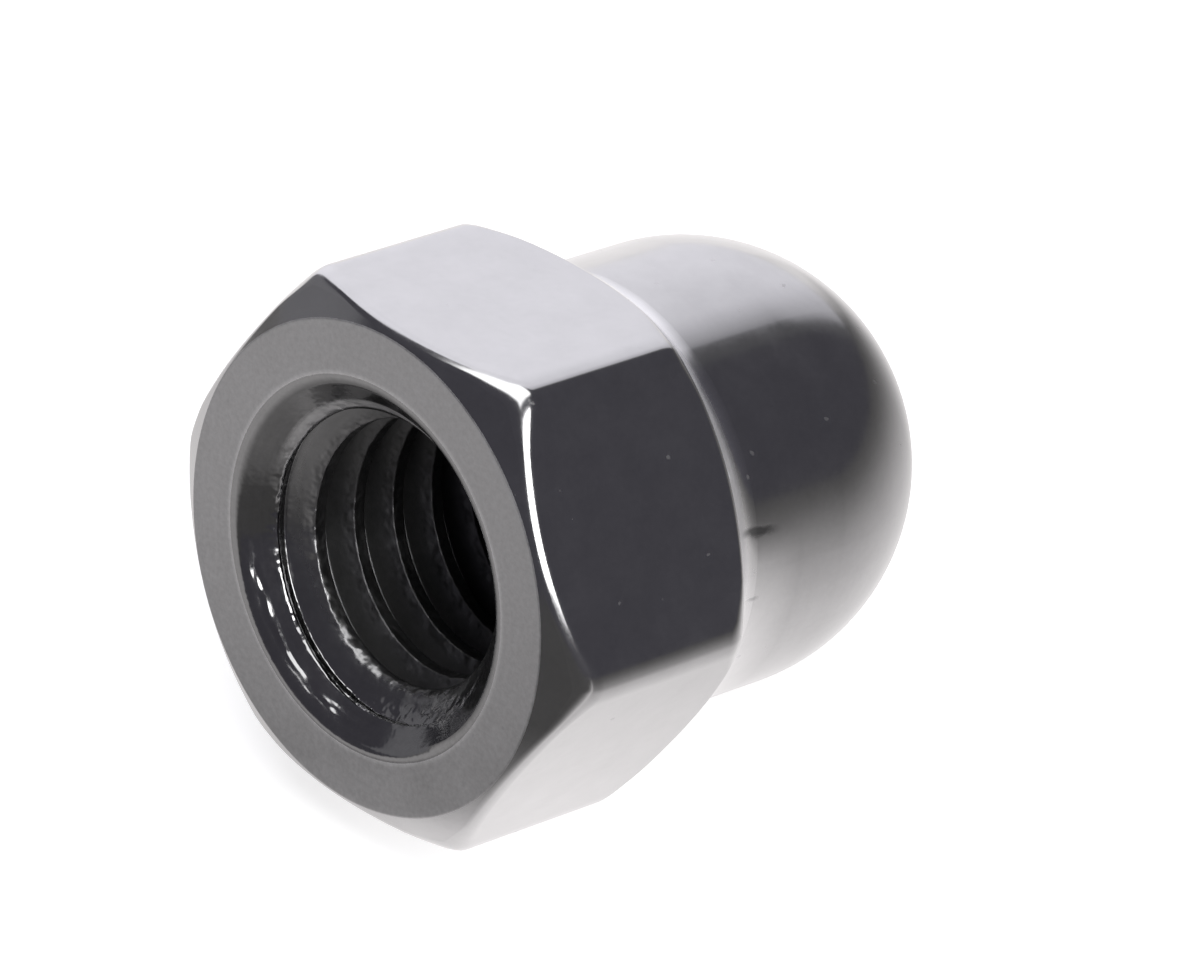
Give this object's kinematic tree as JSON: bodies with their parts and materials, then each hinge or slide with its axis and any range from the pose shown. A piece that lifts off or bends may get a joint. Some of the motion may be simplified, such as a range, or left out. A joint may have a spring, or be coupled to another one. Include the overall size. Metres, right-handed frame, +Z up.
{
  "type": "domed cap nut",
  "caption": "Domed hexagon cap nut, high form, with a blind tapped hole: it covers the end of a screw or stud and clamps with its chamfered bearing ring.",
  "frame": {"origin": "bottom centre of the bounding box, on the surface that the nut lies on", "axes": "+Z up from the surface, +Y towards the crown, so the open end faces -Y; the thread axis lies in the YZ plane and dips towards the crown, which touches the surface"},
  "size_m": [0.009, 0.0108, 0.0085],
  "materials": {
    "stainless": "polished flats and crown, satin bearing ring, machined thread"
  },
  "bodies": {
    "root": {"cap_nut": "stainless"}
  },
  "joints": []
}
